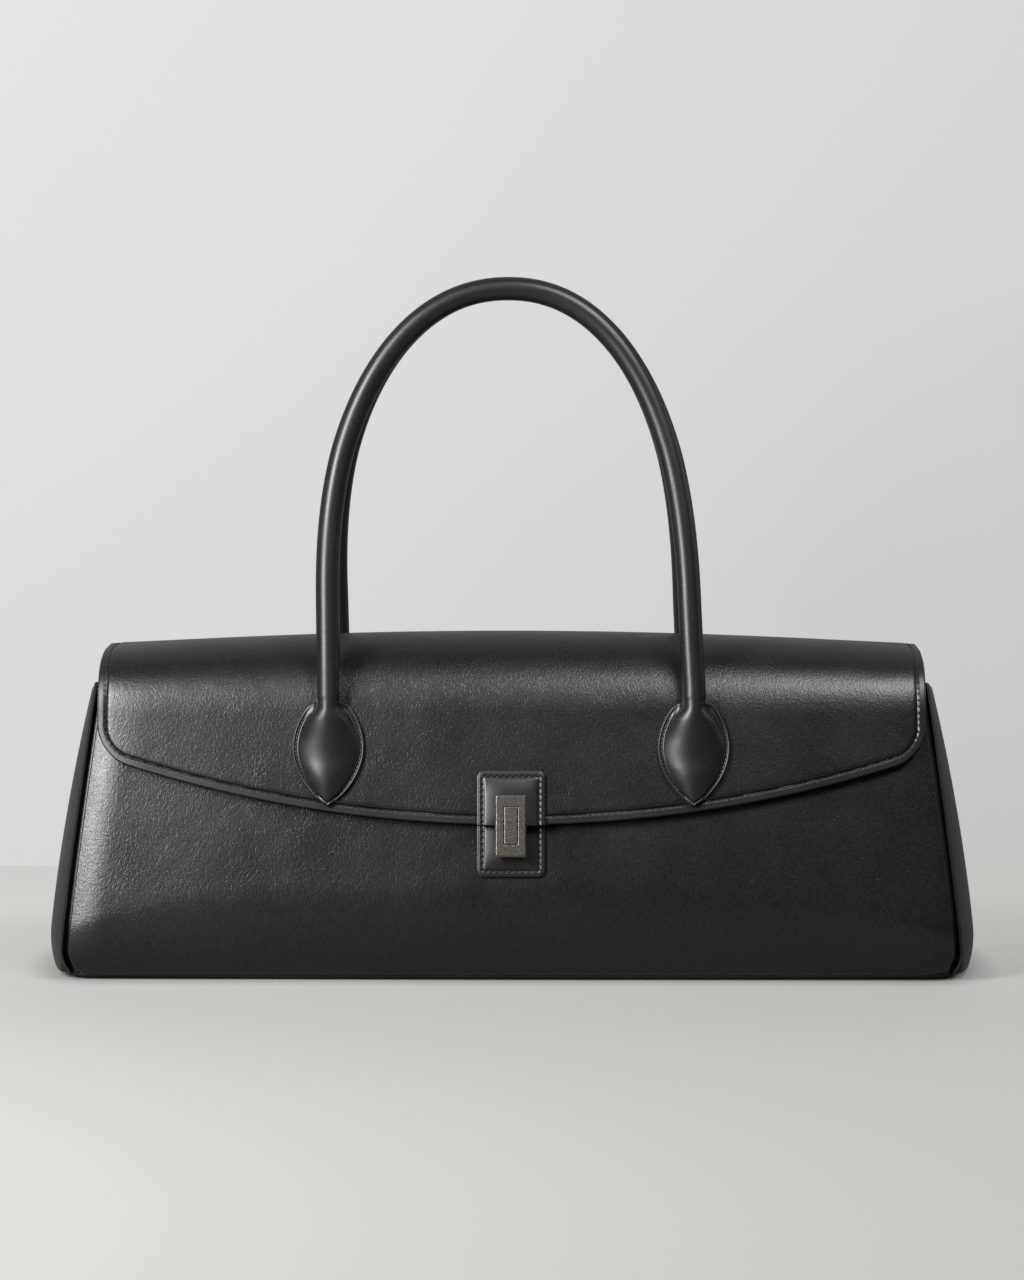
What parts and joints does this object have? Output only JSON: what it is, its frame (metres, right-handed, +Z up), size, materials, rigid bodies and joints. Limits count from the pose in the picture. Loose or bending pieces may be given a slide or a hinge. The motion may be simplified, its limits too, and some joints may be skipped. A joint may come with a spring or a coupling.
{
  "type": "top handle bag",
  "caption": "Trapezoid leather flap bag with rolled top handles and a press-button latch on a split tab.",
  "frame": {"origin": "under the middle of the base, on the surface the bag stands on", "axes": "+X along the bag's width, to the right seen from the front, +Y from the front to the back, +Z up"},
  "size_m": [0.3996, 0.1222, 0.2971],
  "materials": {
    "black_leather": "fine grain, satin",
    "inner_leather": "smooth, matte",
    "lining_cloth": "woven, matte",
    "board": "pressed fibre board",
    "cotton_cord": "twisted cotton",
    "gunmetal": "vertical fine brushing, gunmetal",
    "steel": "plain"
  },
  "bodies": {
    "bag_body": {"front_panel": "black_leather", "back_panel": "black_leather", "left_gusset": "black_leather", "right_gusset": "black_leather", "base_panel": "black_leather", "base_stiffener": "board", "lining": "lining_cloth", "front_facing": "inner_leather", "back_facing": "inner_leather", "left_facing": "inner_leather", "right_facing": "inner_leather", "body_tab": "black_leather", "strike_post": "steel", "strike_backing": "steel", "back_left_chape": "black_leather", "back_right_chape": "black_leather"},
    "flap": {"flap_outer": "black_leather", "flap_lining": "inner_leather", "flap_tab": "black_leather", "front_left_chape": "black_leather", "front_right_chape": "black_leather", "lock_case": "gunmetal", "lock_cover": "steel", "lock_clamp": "steel", "lock_screw_left": "steel", "lock_screw_right": "steel", "latch_spring": "steel"},
    "front_necks": {"front_left_neck": "black_leather", "front_right_neck": "black_leather"},
    "front_handle": {"front_handle": "black_leather", "front_handle_core": "cotton_cord"},
    "back_necks": {"back_left_neck": "black_leather", "back_right_neck": "black_leather"},
    "back_handle": {"back_handle": "black_leather", "back_handle_core": "cotton_cord"},
    "lock_button": {"lock_button": "gunmetal"},
    "lock_latch": {"lock_latch": "steel"}
  },
  "joints": [
    {"name": "flap_open", "type": "hinge", "parent": "bag_body", "child": "flap", "pos_m": [0, 0.0357, 0.1295], "axis": [-1, 0, 0], "range_deg": [0, 110]},
    {"name": "front_neck_bend", "type": "hinge", "parent": "flap", "child": "front_necks", "pos_m": [0, -0.04905, 0.1165], "axis": [1, 0, 0], "range_deg": [0, 55]},
    {"name": "front_handle_fall", "type": "hinge", "parent": "front_necks", "child": "front_handle", "pos_m": [0, -0.0467, 0.12827], "axis": [1, 0, 0], "range_deg": [0, 55]},
    {"name": "back_neck_bend", "type": "hinge", "parent": "bag_body", "child": "back_necks", "pos_m": [0, 0.04518, 0.1145], "axis": [-1, 0, 0], "range_deg": [0, 55]},
    {"name": "back_handle_fall", "type": "hinge", "parent": "back_necks", "child": "back_handle", "pos_m": [0, 0.0431, 0.12632], "axis": [-1, 0, 0], "range_deg": [0, 55]},
    {"name": "lock_button_press", "type": "slide", "parent": "flap", "child": "lock_button", "axis": [0, 0.9741, -0.226], "range_m": [0, 0.0008], "stiffness_N_per_m": 1200, "springref_m": -0.0004},
    {"name": "latch_slide", "type": "slide", "parent": "flap", "child": "lock_latch", "axis": [0, 0.226, 0.9741], "range_m": [0, 0.0009], "deforming": ["latch_spring"]}
  ],
  "couplings": [
    {"joint": "front_neck_bend", "follows": "flap_open", "ratio": 0.5},
    {"joint": "back_neck_bend", "follows": "flap_open", "ratio": 0.5},
    {"joint": "latch_slide", "follows": "lock_button_press", "ratio": 1.125}
  ]
}
